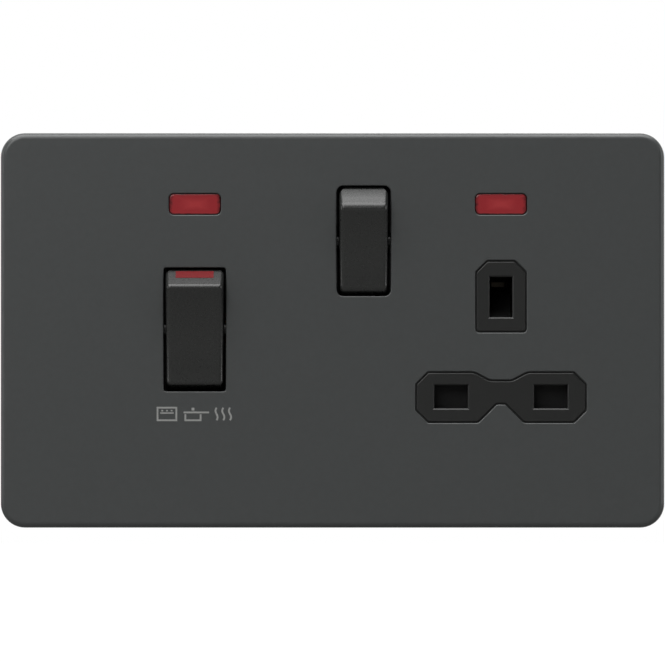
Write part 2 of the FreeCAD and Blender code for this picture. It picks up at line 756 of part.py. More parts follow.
def shutter_guides():
    """Lipped rails that the shutter slides in, and the seat of its spring."""
    top = OUTLET_Z + SHUTTER_H / 2 + RAIL_SPARE
    low = OUTLET_Z - SHUTTER_H / 2 - SHUTTER_TRAVEL - RAIL_SPARE
    lip_y = TOWER_BACK + SHUTTER_T + 2 * SHUTTER_CLEAR
    rails = []
    for side in (-1, 1):
        # hooked section: foot on the frame, web beside the shutter, lip behind it
        near = OUTLET_X + side * (SHUTTER_W / 2 + RAIL_CLEAR)
        tip = near - side * RAIL_LIP
        far = near + side * RAIL_T
        back = lip_y + RAIL_LIP
        section = [(near, SKIN_ROOT), (near, lip_y), (tip, lip_y), (tip, back), (far, back), (far, SKIN_ROOT)]
        rails.append(top_prism([(a, b, 0) for a, b in section], low, top))
    half = SPRING_SEAT_W / 2
    floor = RETURN_SPRING_FLOOR
    seat_back = TOWER_BACK + SPRING_SEAT_DEPTH
    seat = block(OUTLET_X - half, OUTLET_X + half, SKIN_ROOT, seat_back, floor - SPRING_SEAT_T, floor)
    return rails + [seat]


def frame_ribs():
    """Stiffening ribs between the rim of the frame and the housing."""
    back = -FRAME_RIB_SHORT
    edge = FRAME_H / 2 - FRAME_RIB_END
    ribs = []
    count = int(HOUSING_HALF / FRAME_RIB_PITCH)
    for k in range(-count, count + 1):
        x = k * FRAME_RIB_PITCH
        for near, far in ((HOUSING_TOP + ROOT, edge), (HOUSING_LOW - ROOT, -edge)):
            ribs.append(block(x - FRAME_RIB_T / 2, x + FRAME_RIB_T / 2, SKIN_ROOT, back, near, far))
    for side in (-1, 1):
        near = side * (HOUSING_HALF + ROOT)
        far = side * (FRAME_W / 2 - FRAME_RIB_END)
        for k in (-2, -1, 1, 2):
            z = k * FRAME_RIB_PITCH
            ribs.append(block(near, far, SKIN_ROOT, back, z - FRAME_RIB_T / 2, z + FRAME_RIB_T / 2))
    return ribs


def front_moulding():
    """Frame, rocker wells, lens seats, outlet face and shutter guides in one moulding."""
    body = rounded_slab(0, 0, FRAME_W, FRAME_H, FRAME_R, SKIN_FRONT, 0)
    body = body.makeChamfer(FRAME_CHAMFER, edges_at(body, SKIN_FRONT))
    inside_w = FRAME_W - 2 * FRAME_RIM
    inside_h = FRAME_H - 2 * FRAME_RIM
    inside_r = max(FRAME_R - FRAME_RIM, 0.5 * FRAME_RIM)
    body = body.cut(rounded_slab(0, 0, inside_w, inside_h, inside_r, SKIN_BACK, ROOT))
    adds = frame_ribs() + shutter_guides()
    cuts = []
    features = [rocker_well(s) for s in (COOKER, SWITCH)]
    features += [lens_seat(x) for x in LENSES]
    features.append(outlet_face())
    for solids, rooms in features:
        adds.extend(solids)
        cuts.extend(rooms)
    for side in (-1, 1):
        x = side * FIXING_X
        head_l = FIXING_SLOT_L - FIXING_SLOT_W + FIXING_HEAD_W
        adds.append(rod(x, 0, FIXING_BOSS_R, SKIN_ROOT, 0))
        cuts.append(slot(x, 0, FIXING_SLOT_W, FIXING_SLOT_L, FACE_Y, ROOT))
        cuts.append(slot(x, 0, FIXING_HEAD_W, head_l, FACE_Y, -FIXING_FLOOR))
    for x, z in HOUSING_SCREWS:
        adds.append(rod(x, z, COLUMN_R, SKIN_ROOT, COLUMN_END))
        cuts.append(rod(x, z, SCREW_SHANK_R + SCREW_BITE, SCREW_TIP_Y - ROOT, COLUMN_END + ROOT))
    pocket_w = CLIP_W + 2 * CRADLE_LIFT
    pocket_h = CLIP_H + 2 * CRADLE_LIFT
    cuts.append(slab(FIXING_X, CLIP_Z, pocket_w, pocket_h, FACE_Y, SKIN_FRONT + CLIP_POCKET))
    return body.fuse(adds).cut(cuts).removeSplitter()


def housing_outline(inset):
    """Plan of the housing with a recess each side for the lugs of the wall box."""
    wide = HOUSING_HALF - inset
    waist = HOUSING_WAIST - inset
    top = HOUSING_TOP - inset
    low = HOUSING_LOW + inset
    lug = LUG_RECESS_H / 2 + inset
    recess = [(wide, -lug), (waist, -lug), (waist, lug), (wide, lug)]
    right = [(wide, low, HOUSING_CORNER_R)]
    right += [(x, z, HOUSING_EDGE_R) for x, z in recess]
    right.append((wide, top, HOUSING_CORNER_R))
    left = [(-x, z, r) for x, z, r in reversed(right)]
    return right + left


def housing_posts():
    """Posts on the floor of the housing that the straps, bars and strips lie on."""
    root = REAR_Y + ROOT
    posts = []
    for z in (BUS_NEUTRAL_Z, BUS_LINE_Z):
        posts.append(rod((COOKER_X + SWITCH_X) / 2, z, POST_R, BUS_BACK, root))
    for x in (LINE_POLE, NEUTRAL_POLE):
        posts.append(rod(x, LEG_POST_Z, POST_R, BUS_BACK, root))
    for leg_x, jaw_x in ((NEUTRAL_LEG, NEUTRAL_X), (LINE_LEG, LINE_X)):
        posts.append(rod(leg_x, LEG_POST_Z, POST_R, STRIP_BACK, root))
        posts.append(rod(jaw_x, OUTLET_Z, POST_R, STRIP_BACK, root))
    posts.append(rod(LINE_POLE - ROOT, SWITCH.dome_z, FULCRUM_POST_R, STRIP_BACK, root))
    for z in (EARTH_Z, OUTLET_Z):
        posts.append(rod(OUTLET_X, z, BROAD_POST_R, STRAP_BACK, root))
    for side in (-1, 1):
        for z in (COOKER_Z - STRAP_POST_DROP, COOKER.dome_z):
            posts.append(slab(COOKER.pole_x(side), z, BUS_W, 2 * BROAD_POST_R, STRAP_BACK, root))
    return posts


def rear_housing():
    """Tray that carries the terminals and contacts."""
    tray = prism(housing_outline(0), SKIN_BACK, HOUSING_END)
    tray = tray.makeFillet(HOUSING_EDGE_R, edges_at(tray, HOUSING_END))
    tray = tray.cut(prism(housing_outline(HOUSING_WALL), SKIN_BACK - ROOT, REAR_Y))
    root = REAR_Y + ROOT
    low = HOUSING_LOW + ROOT
    top = HOUSING_TOP - ROOT
    adds = housing_posts()
    cuts = []
    # walls between the poles, from top to bottom behind each switch
    half = PARTITION_T / 2
    adds.append(block(COOKER_X - half, COOKER_X + half, BAY_Y + BAY_MARGIN, root, low, top))
    half = THIN_PARTITION_T / 2
    front = SWITCH.hinge - PARTITION_GAP
    adds.append(block(SWITCH_X - half, SWITCH_X + half, front, root, BUS_LINE_Z + BUS_W, top))
    # shrouded holes for the driver behind each clamp screw
    for x, z in COOKER_TERMINALS + EARTH_TERMINALS:
        adds.append(rod(x, z, TERMINAL_HEAD_R + SHROUD_CLEAR + SHROUD_T, STRAP_BACK, root))
        cuts.append(rod(x, z, TERMINAL_HEAD_R + SHROUD_CLEAR, STRAP_BACK, HOUSING_END + ROOT))
    for x, z in HOUSING_SCREWS:
        adds.append(rod(x, z, COLUMN_R, COLUMN_END, root))
        cuts.append(rod(x, z, SCREW_SHANK_R + SCREW_CLEAR, COLUMN_END - ROOT, HOUSING_END + ROOT))
        cuts.append(rod(x, z, SCREW_HEAD_R + SCREW_CLEAR, REAR_Y, HOUSING_END + ROOT))
    # bays in the walls where the cables reach the terminals
    bay_end = STRAP_Y - SHROUD_CLEAR
    past = 1.1 * HOUSING_WALL
    for side in (-1, 1):
        x0 = COOKER_X + side * BAY_SIDE
        x1 = COOKER_X + side * (TERMINAL_X + TERMINAL_W / 2)
        for z in (HOUSING_TOP, HOUSING_LOW):
            cuts.append(block(x0, x1, BAY_Y, bay_end, z - past, z + past))
    cuts.append(slab(EARTH_BLOCK_X, HOUSING_LOW, EARTH_BLOCK_W, 2 * past, BAY_Y, bay_end))
    # passages through the partitions for the neutral bar and the line strip
    half = BUS_W / 2 + PASS_CLEAR
    cuts.append(slab(COOKER_X, BUS_NEUTRAL_Z, 2 * PARTITION_T, 2 * half, STRAP_BACK - SHROUD_CLEAR, REAR_Y))
    half = STRIP_W / 2 + PASS_CLEAR
    cuts.append(slab(SWITCH_X, SWITCH.dome_z, 2 * THIN_PARTITION_T, 2 * half, STRAP_Y, REAR_Y))
    # room for the well of the socket rocker, which stands higher than the housing
    half = SWITCH.cheek + CHEEK_T + SHROUD_CLEAR
    back = SWITCH.well_back + SHROUD_CLEAR
    cuts.append(block(SWITCH_X - half, SWITCH_X + half, SKIN_BACK - ROOT, back, SWITCH_Z, HOUSING_TOP + ROOT))
    return tray.fuse(adds).cut(cuts).removeSplitter()


def lens(x):
    """Red window with a flange trapped between plate and frame."""
    clear = 2 * LENS_CLEAR
    front = FACE_Y + LENS_SUNK
    back = SKIN_FRONT + LENS_FLANGE_T
    pane = rounded_slab(x, LENS_Z, LENS_W - clear, LENS_H - clear, LENS_R, front, back)
    pane = pane.makeFillet(LENS_EDGE_R, edges_at(pane, front))
    flange_w = LENS_W + 2 * LENS_FLANGE - clear
    flange_h = LENS_H + 2 * LENS_FLANGE - clear
    return joined([pane, rounded_slab(x, LENS_Z, flange_w, flange_h, LENS_R, SKIN_FRONT, back)])


def lamp(x):
    """Glow lamp: glass tube with a domed end and two short leads."""
    y = SKIN_BACK + LAMP_R + CRADLE_LIFT
    straight = LAMP_L - LAMP_R
    foot = x - LAMP_L / 2
    tube = Part.makeCylinder(LAMP_R, straight, V(foot, y, LENS_Z), ALONG_X)
    dome = Part.makeSphere(LAMP_R, V(foot + straight, y, LENS_Z), ALONG_X, 0, 90, 360)
    leads = []
    for side in (-1, 1):
        leads.append(cross_rod(foot, y, LENS_Z + side * LEAD_APART / 2, LEAD_R, 2 * LEAD_L))
    return joined([tube, dome] + leads)


def resistor(x):
    """Series resistor of the lamp, with a short lead at each end."""
    y = SKIN_BACK + RESISTOR_R + CRADLE_LIFT
    z = LENS_Z - RESISTOR_DROP
    body = cross_rod(x, y, z, RESISTOR_R, RESISTOR_L)
    body = body.makeFillet(RESISTOR_EDGE_R, [e for e in body.Edges if len(e.Vertexes) == 1])
    return joined([body, cross_rod(x, y, z, LEAD_R, RESISTOR_L + 2 * LEAD_L)])


def rocker_section(s):
    """Side view of the rocker: dished front, sloping ends, and skirts round about the pivot."""
    def at(u, v):
        y, z = s.point(u, v)
        return V(s.x - s.half_w, y, z)

    skirt = -ROCKER_SKIRT
    dish = s.ridge_v - s.dish
    edges = [
        Part.Arc(at(-s.ridge_u, s.ridge_v), at(0, dish), at(s.ridge_u, s.ridge_v)).toShape(),
        Part.makeLine(at(s.ridge_u, s.ridge_v), at(s.base_u, s.base_v)),
        Part.Arc(at(s.base_u, s.base_v), at(s.skirt_r, 0), at(s.skirt_u, skirt)).toShape(),
        Part.makeLine(at(s.skirt_u, skirt), at(-s.skirt_u, skirt)),
        Part.Arc(at(-s.skirt_u, skirt), at(-s.skirt_r, 0), at(-s.base_u, s.base_v)).toShape(),
        Part.makeLine(at(-s.base_u, s.base_v), at(-s.ridge_u, s.ridge_v)),
    ]
    return Part.Face(Part.Wire(edges))


def side_draft(s):
    """Plan of the rocker, narrower towards the front, as tall as the whole switch."""
    front = s.pivot - s.ridge_v - 1
    back = s.pivot + ROCKER_SKIRT + 1
    narrow = s.cap_w - ROCKER_DRAFT / s.ridge_v
    right = [(s.half_w, back), (s.half_w, s.pivot), (narrow, front)]
    left = [(-a, b) for a, b in reversed(right)]
    reach = 2 * s.skirt_r
    return top_prism([(s.x + a, b, 0) for a, b in right + left], s.z - reach, s.z + reach)


def rocker_hollow(s):
    """Room inside the rocker cap."""
    inner_u = s.base_u - ROCKER_WALL - ROCKER_HOLLOW_EASE
    peak_u = s.ridge_u - ROCKER_WALL
    open_v = -ROCKER_SKIRT - 1
    right = [(inner_u, open_v), (inner_u, s.base_v), (peak_u, s.roof_v)]
    left = [(-u, v) for u, v in reversed(right)]
    inner_w = s.cap_w - ROCKER_SIDE_T
    return side_prism([(*s.point(u, v), 0) for u, v in right + left], s.x - inner_w, s.x + inner_w)


def rounded_sides(s, cap):
    """Round the long edges at both sides of the front of the cap."""
    rim = []
    for edge in cap.Edges:
        box = edge.BoundBox
        ahead = box.YMax < s.pivot - s.base_v + 0.05
        off_side = abs(0.5 * (box.XMin + box.XMax) - s.x) > 0.5 * s.cap_w
        if ahead and off_side:
            rim.append(edge)
    return cap.makeFillet(ROCKER_EDGE_R, rim)


def flag_section(s, proud):
    """Section of the flag let into the upper end of the rocker."""
    run_u = s.ridge_u - s.base_u
    run_v = s.ridge_v - s.base_v
    length = math.hypot(run_u, run_v)
    du = run_u / length
    dv = run_v / length
    corners = []
    for along, out in ((FLAG_START, proud), (FLAG_H, proud), (FLAG_H, -FLAG_T), (FLAG_START, -FLAG_T)):
        u = s.base_u + du * along + dv * out
        v = s.base_v + dv * along - du * out
        corners.append((*s.point(u, v), 0))
    return corners


def rocker(s, flagged):
    """Hollow rocker cap with trunnions and one plunger tube for each pole."""
    cap = rocker_section(s).extrude(V(2 * s.half_w, 0, 0))
    cap = cap.makeFillet(s.ridge_r, edges_at(cap, s.pivot - s.ridge_v))
    front = s.pivot - s.ridge_v
    back = s.pivot + ROCKER_SKIRT
    plan = rounded_slab(s.x, s.z, 2 * s.half_w, 2 * s.skirt_r, s.corner_r, front - ROOT, back + ROOT)
    cap = rounded_sides(s, cap.common(side_draft(s))).common(plan)
    cap = cap.cut(rocker_hollow(s))
    adds = []
    bores = []
    tube_end = s.pivot + s.reach - PLUNGER_SHOW
    bore_floor = s.pivot + s.reach - PLUNGER_L - SPRING_L
    for side in (-1, 1):
        x = s.pole_x(side)
        adds.append(rod(x, s.z, s.tube_r, s.pivot - s.roof_v - ROOT, tube_end))
        bores.append(rod(x, s.z, s.bore_r, bore_floor, tube_end + ROOT))
        start = V(s.x + side * (s.half_w - ROCKER_WALL), s.pivot, s.z)
        adds.append(Part.makeCylinder(TRUNNION_R, ROCKER_WALL + TRUNNION_L, start, V(side, 0, 0)))
    cap = cap.fuse(adds).cut(bores)
    if flagged:
        cap = cap.cut(side_prism(flag_section(s, 1.0), s.x - FLAG_W / 2, s.x + FLAG_W / 2))
    return s.tipped(cap.removeSplitter())


def rocker_flag(s):
    """Red flag that shows at the upper end of the rocker while it is on."""
    return s.tipped(side_prism(flag_section(s, FLAG_PROUD), s.x - FLAG_W / 2, s.x + FLAG_W / 2))


def plunger(s, side):
    """Sprung pin in the rocker tube; its round tip rides on the contact arm."""
    x = s.pole_x(side)
    tip = s.pivot + s.reach
    foot = tip - PLUNGER_L
    body = rod(x, s.z, s.tip_r, foot, tip)
    nose = Part.makeSphere(s.tip_r, V(x, tip, s.z), ALONG_Y, 0, 90, 360)
    spigot = rod(x, s.z, SPIGOT_SHARE * s.tip_r, foot - SPIGOT_L, foot + ROOT)
    return s.tipped(joined([body, nose, spigot]))


def plunger_spring(s, side):
    """Coil between the floor of the rocker tube and the plunger."""
    start = V(s.pole_x(side), s.pivot + s.reach - PLUNGER_L - SPRING_L, s.z)
    mean_r = s.tip_r - SPRING_WIRE / 2 - SPRING_CLEAR
    return s.tipped(coil(start, ALONG_Y, mean_r, SPRING_L, SPRING_TURNS, SPRING_WIRE))


def contact_arm(s, side):
    """See-saw blade that rocks on its fulcrum and carries the moving contact."""
    x = s.pole_x(side)
    top = s.contact_z + ARM_HEAD
    middle = s.z + (top - ARM_TAIL) / 2
    blade = rounded_slab(x, middle, s.arm_w, top + ARM_TAIL, ARM_R, s.hinge - s.arm_t, s.hinge)
    groove = cross_rod(x, s.hinge, s.z, s.nose_r + NOSE_CLEAR, 2 * s.arm_w)
    ball = Part.makeSphere(s.dome_r, V(x, s.hinge + DOME_SHOW - s.dome_r, s.z + s.contact_z))
    wide = 4 * s.dome_r
    behind = slab(x, s.z + s.contact_z, wide, wide, s.hinge - DOME_ROOT, s.hinge + wide)
    arm = joined([blade.cut(groove), ball.common(behind)])
    arm.rotate(V(s.x, s.hinge, s.z), ALONG_X, -s.arm_tilt)
    return arm


def fixed_contact(s, x):
    """Rivet that the dome of a contact arm meets."""
    head = rod(x, s.dome_z, s.dome_r - RIVET_RIM, s.fixed_y, STRAP_Y)
    return head.makeFillet(RIVET_EDGE_R, edges_at(head, s.fixed_y))


def fulcrum(s, x, back, t):
    """End of a strap bent forwards into a tab, with the round nose the arm rocks on."""
    upper = s.z + t / 2
    path = [(back, s.z - BEND_LENGTH), (back, upper), (s.hinge, upper)]
    half = s.arm_w / 2
    tab = side_prism(bent(path, t, BEND_R), x - half, x + half)
    return [tab, cross_rod(x, s.hinge, s.z, s.nose_r, s.arm_w)]


def ell(inner, width, outer, tip, foot, end, tip_r=STRAP_R):
    """Blank of a strap: a foot across the terminal and a leg of given width up to tip."""
    leg = inner + width
    corners = [(inner, foot + end), (outer, foot + end), (outer, foot - end), (leg, foot - end)]
    return [(x, z, STRAP_R) for x, z in corners] + [(leg, tip, tip_r), (inner, tip, tip_r)]


def cooker_strap(side, end):
    """Copper strap from a cooker terminal to the fulcrum (end -1) or to the fixed contact (end 1)."""
    s = COOKER
    pole = s.pole_x(side)
    inner = pole - side * s.arm_w / 2
    outer = s.x + side * (TERMINAL_X + TERMINAL_W / 2 - FOOT_INSET)
    foot = s.z + end * TERMINAL_Z
    foot_end = end * (TERMINAL_H / 2 - FOOT_MARGIN)
    if end < 0:
        tip = s.z - BEND_LENGTH
        tip_r = 0
        extra = fulcrum(s, pole, STRAP_BACK, STRAP_T)
    else:
        tip = s.dome_z - s.dome_r - FOOT_MARGIN
        tip_r = STRAP_R
        extra = [fixed_contact(s, pole)]
    blank = ell(inner, side * s.arm_w, outer, tip, foot, foot_end, tip_r)
    flat = prism(blank, STRAP_Y, STRAP_BACK)
    hole_r = TERMINAL_SCREW_R + TERMINAL_SCREW_CLEAR
    hole = rod(s.x + side * TERMINAL_X, foot, hole_r, STRAP_Y - ROOT, STRAP_BACK + ROOT)
    return joined([flat] + extra).cut(hole)


def bus_leg(pole, foot):
    """Leg of a bus bar up behind a pole of the socket switch, ending in its fulcrum."""
    s = SWITCH
    tip = s.z - BEND_LENGTH
    leg = slab(pole, (foot + tip) / 2, s.arm_w, tip - foot, STRAP_BACK, BUS_BACK)
    return [leg] + fulcrum(s, pole, BUS_BACK, BUS_T)


def bus_bar_line():
    """From the cooker line strap to the fulcrum of the socket switch."""
    start = COOKER.pole_x(1) - COOKER.arm_w / 2
    end = LINE_POLE + SWITCH.arm_w / 2
    foot = BUS_LINE_Z - BUS_W / 2
    run = rounded_slab((start + end) / 2, BUS_LINE_Z, end - start, BUS_W, STRAP_R, STRAP_BACK, BUS_BACK)
    return joined([run] + bus_leg(LINE_POLE, foot + STRAP_R))


def bus_bar_neutral():
    """From the cooker neutral strap, bent back behind the line strap, to the socket switch."""
    foot = BUS_NEUTRAL_Z - BUS_W / 2
    start = COOKER.pole_x(-1) - COOKER.arm_w / 2
    bend_a = COOKER_X - BUS_START
    bend_b = COOKER.pole_x(1) + COOKER.arm_w / 2 + BUS_PAST
    far = STRAP_BACK + BUS_JOG
    end = NEUTRAL_POLE + SWITCH.arm_w / 2
    path = [
        (start, STRAP_BACK),
        (bend_a, STRAP_BACK),
        (bend_a + BUS_JOG, far),
        (bend_b - BUS_JOG, far),
        (bend_b, STRAP_BACK),
        (end, STRAP_BACK),
    ]
    run = top_prism(bent(path, BUS_T, BEND_R), foot, foot + BUS_W)
    return joined([run] + bus_leg(NEUTRAL_POLE, foot))


def jaws(front, base, narrow_end):
    """Section of a sprung U that grips a pin: corners (y, offset, radius), with a flared mouth."""
    g = JAW_GAP / 2
    upper = [(front, g + JAW_FLARE), (front + JAW_FLARE_L, g), (base, g)]
    lower = [(y, -offset) for y, offset in reversed(upper)]
    return bent(upper + lower, JAW_T, narrow_end)


def socket_contact(x, leg_x, pole_x, crossing):
    """Line or neutral contact of the outlet with its strip up to the switch."""
    s = SWITCH
    half = (LIVE_PIN_W - JAW_NARROW) / 2
    section = [(y, OUTLET_Z + offset, r) for y, offset, r in jaws(JAW_FRONT, STRAP_Y, BEND_R)]
    grip = side_prism(section, x - half, x + half)
    z0 = s.dome_z - STRIP_W / 2
    z1 = s.dome_z + STRIP_W / 2
    foot = OUTLET_Z - JAW_GAP / 2
    leg = rounded_slab(leg_x, (foot + z1) / 2, STRIP_W, z1 - foot, STRAP_R, STRAP_Y, STRIP_BACK)
    near = pole_x - s.arm_w / 2
    end = leg_x + STRIP_W / 2 - STRAP_R
    path = [(near, STRAP_Y), (end, STRAP_Y)]
    if crossing:
        pad = near + s.arm_w
        far = leg_x - STRIP_W / 2
        back = STRAP_Y + STRIP_JOG
        path[1:1] = [(pad, STRAP_Y), (pad + STRIP_JOG, back), (far - STRIP_JOG, back), (far, STRAP_Y)]
    strip = top_prism(bent(path, JAW_T, BEND_R), z0, z1)
    return joined([grip, leg, strip, fixed_contact(s, pole_x)])


def earth_contact():
    """Deep contact for the earth pin."""
    half = (EARTH_PIN_H - EARTH_JAW_NARROW) / 2
    section = [(OUTLET_X - offset, y, r) for y, offset, r in jaws(EARTH_JAW_FRONT, STRAP_Y - JAW_T, BEND_R)]
    return top_prism(section, EARTH_Z - half, EARTH_Z + half)


def earth_strap():
    """Strap from the earth contact down and across to the earth terminals."""
    low = TERMINALS_LOW + FOOT_INSET
    bar = low + EARTH_STRAP_W
    pad = EARTH_BLOCK_W / 2
    left = OUTLET_X - EARTH_STRAP_W / 2
    right = OUTLET_X + EARTH_STRAP_W / 2
    top = EARTH_Z + EARTH_STRAP_W / 2
    pad_top = TERMINALS_LOW + EARTH_BLOCK_H - FOOT_INSET
    points = [(EARTH_BLOCK_X - pad, low), (right, low), (right, top), (left, top), (left, bar)]
    points += [(EARTH_BLOCK_X + pad, bar), (EARTH_BLOCK_X + pad, pad_top), (EARTH_BLOCK_X - pad, pad_top)]
    blank = prism([(x, z, STRAP_R) for x, z in points], STRAP_Y, STRAP_BACK)
    hole_r = TERMINAL_SCREW_R + TERMINAL_SCREW_CLEAR
    return blank.cut([rod(x, z, hole_r, STRAP_Y - ROOT, STRAP_BACK + ROOT) for x, z in EARTH_TERMINALS])


def terminal(spots, width, height):
    """Brass pillar terminal; the cable goes in along Z, the clamp screw comes from behind."""
    x = sum(spot[0] for spot in spots) / len(spots)
    z = spots[0][1]
    body = slab(x, z, width, height, STRAP_Y - TERMINAL_D, STRAP_Y)
    upright = [e for e in body.Edges if abs(e.BoundBox.ZLength - height) < 1e-4]
    body = body.makeChamfer(TERMINAL_CHAMFER, upright)
    cuts = []
    for bore_x, bore_z in spots:
        start = V(bore_x, BORE_Y, bore_z - height)
        cuts.append(Part.makeCylinder(TERMINAL_BORE_R, 2 * height, start, ALONG_Z))
        cuts.append(rod(bore_x, bore_z, TERMINAL_SCREW_R + SCREW_BITE, BORE_Y, STRAP_Y + ROOT))
    return body.cut(cuts)


def screw(x, z, shank_r, tip, head_r, head, head_t):
    """Screw along Y, chamfered at its tip and round the back of its head."""
    shank = rod(x, z, shank_r, tip, head + head_t / 2)
    shank = shank.makeChamfer(SCREW_TIP_EASE, edges_at(shank, tip))
    cap = rod(x, z, head_r, head, head + head_t)
    cap = cap.makeChamfer(SCREW_HEAD_EASE, edges_at(cap, head + head_t))
    return joined([shank, cap])


def terminal_screws():
    """Slotted clamp screws of all six terminal bores."""
    tip = BORE_Y + TERMINAL_BORE_R
    head = REAR_Y - TERMINAL_HEAD_T + TERMINAL_HEAD_PROUD
    end = head + TERMINAL_HEAD_T
    screws = []
    for x, z in COOKER_TERMINALS + EARTH_TERMINALS:
        groove = slab(x, z, 3 * TERMINAL_HEAD_R, DRIVER_SLOT_W, end - DRIVER_SLOT_D, end + ROOT)
        whole = screw(x, z, TERMINAL_SCREW_R, tip, TERMINAL_HEAD_R, head, TERMINAL_HEAD_T)
        screws.append(whole.cut(groove))
    return Part.makeCompound(screws)


def housing_screws():
    """Cross-recessed screws that hold the housing to the frame."""
    end = REAR_Y + SCREW_HEAD_T
    deep = end - SCREW_RECESS_D
    screws = []
    for x, z in HOUSING_SCREWS:
        cross = [
            slab(x, z, SCREW_RECESS_L, SCREW_RECESS_W, deep, end + ROOT),
            slab(x, z, SCREW_RECESS_W, SCREW_RECESS_L, deep, end + ROOT),
        ]
        whole = screw(x, z, SCREW_SHANK_R, SCREW_TIP_Y, SCREW_HEAD_R, REAR_Y, SCREW_HEAD_T)
        screws.append(whole.cut(cross))
    return Part.makeCompound(screws)


def shutter():
    """Gate behind the line and neutral openings, driven down by the earth pin."""
    y0 = TOWER_BACK + SHUTTER_CLEAR
    y1 = y0 + SHUTTER_T
    top = OUTLET_Z + SHUTTER_H / 2
    gate = rounded_slab(OUTLET_X, OUTLET_Z, SHUTTER_W, SHUTTER_H, SHUTTER_R, y0, y1)
    # arm up to the earth opening, ending in the ramp that the pin pushes on
    start = EARTH_Z - EARTH_PIN_H / 2 + RAMP_INSET
    ramp_y = y0 + RAMP_LIP
    deep = ramp_y + SHUTTER_TRAVEL
    profile = [
        (y0, top - ROOT, 0),
        (y0, start - RAMP_LIP, 0),
        (ramp_y, start, 0),
        (deep, start + SHUTTER_TRAVEL, 0),
        (deep, start + SHUTTER_TRAVEL - RAMP_WEB, 0),
        (y1, start - RAMP_WEB, 0),
        (y1, top - ROOT, 0),
    ]
    arm = side_prism(profile, OUTLET_X - RAMP_W / 2, OUTLET_X + RAMP_W / 2)
    bottom = OUTLET_Z - SHUTTER_H / 2 - ROOT
    half = RETURN_SPRING_ROOM / 2
    room = block(OUTLET_X - half, OUTLET_X + half, y0 - ROOT, y1 + ROOT, bottom, RETURN_SPRING_TOP)
    return joined([gate, arm]).cut(room)


def shutter_spring():
    """Coil that pushes the shutter back up."""
    y = TOWER_BACK + SHUTTER_CLEAR + RETURN_SPRING_R + RETURN_SPRING_WIRE
    start = V(OUTLET_X, y, RETURN_SPRING_FLOOR)
    return coil(start, ALONG_Z, RETURN_SPRING_R, RETURN_SPRING_L, RETURN_SPRING_TURNS, RETURN_SPRING_WIRE)


def plate_earth_clip():
    """Leaf in a pocket of the frame that touches the back of the plate."""
    y = SKIN_FRONT + CLIP_POCKET
    leaf = slab(FIXING_X, CLIP_Z, CLIP_W, CLIP_H, y - CLIP_LEAF_T, y)
    crown_l = CLIP_W - 2 * CLIP_CROWN_INSET
    crown = cross_rod(FIXING_X, SKIN_FRONT + CLIP_CROWN_R, CLIP_Z, CLIP_CROWN_R, crown_l)
    keep = slab(FIXING_X, CLIP_Z, CLIP_W, CLIP_H, SKIN_FRONT - ROOT, y)
    return joined([leaf, crown.common(keep)])


NODES = {
    "front_plate": front_plate(),
    "front_moulding": front_moulding(),
    "rear_housing": rear_housing(),
    "cooker_lens": lens(COOKER_X),
    "socket_lens": lens(OUTLET_X),
    "cooker_neon_lamp": lamp(COOKER_X),
    "socket_neon_lamp": lamp(OUTLET_X),
    "cooker_neon_resistor": resistor(COOKER_X),
    "socket_neon_resistor": resistor(OUTLET_X),
    "cooker_rocker": rocker(COOKER, True),
    "cooker_on_flag": rocker_flag(COOKER),
    "socket_rocker": rocker(SWITCH, False),
    "bus_bar_line": bus_bar_line(),
    "bus_bar_neutral": bus_bar_neutral(),
    "socket_line_contact": socket_contact(LINE_X, LINE_LEG, LINE_POLE, True),
    "socket_neutral_contact": socket_contact(NEUTRAL_X, NEUTRAL_LEG, NEUTRAL_POLE, False),
    "earth_contact": earth_contact(),
    "earth_strap": earth_strap(),
    "earth_terminal_block": terminal(EARTH_TERMINALS, EARTH_BLOCK_W, EARTH_BLOCK_H),
    "terminal_screws": terminal_screws(),
    "housing_screws": housing_screws(),
    "shutter": shutter(),
    "shutter_spring": shutter_spring(),
    "plate_earth_clip": plate_earth_clip(),
}

for pole, side in (("line", 1), ("neutral", -1)):
    spot = COOKER_X + side * TERMINAL_X
    NODES["cooker_plunger_" + pole] = plunger(COOKER, side)
    NODES["cooker_spring_" + pole] = plunger_spring(COOKER, side)
    NODES["cooker_contact_arm_" + pole] = contact_arm(COOKER, side)
    NODES["cooker_common_strap_" + pole] = cooker_strap(side, -1)
    NODES["cooker_load_strap_" + pole] = cooker_strap(side, 1)
    for name, z in (("supply", COOKER_Z - TERMINAL_Z), ("load", COOKER_Z + TERMINAL_Z)):
        NODES["cooker_" + name + "_terminal_" + pole] = terminal([(spot, z)], TERMINAL_W, TERMINAL_H)
    NODES["socket_plunger_" + pole] = plunger(SWITCH, -side)
    NODES["socket_spring_" + pole] = plunger_spring(SWITCH, -side)
    NODES["socket_contact_arm_" + pole] = contact_arm(SWITCH, -side)

os.makedirs("parts", exist_ok=True)
for name, shape in NODES.items():
    shape.exportStep("parts/" + name + ".step")
    print(name, shape.isValid(), len(shape.Solids), round(shape.Volume, 1))
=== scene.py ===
import math

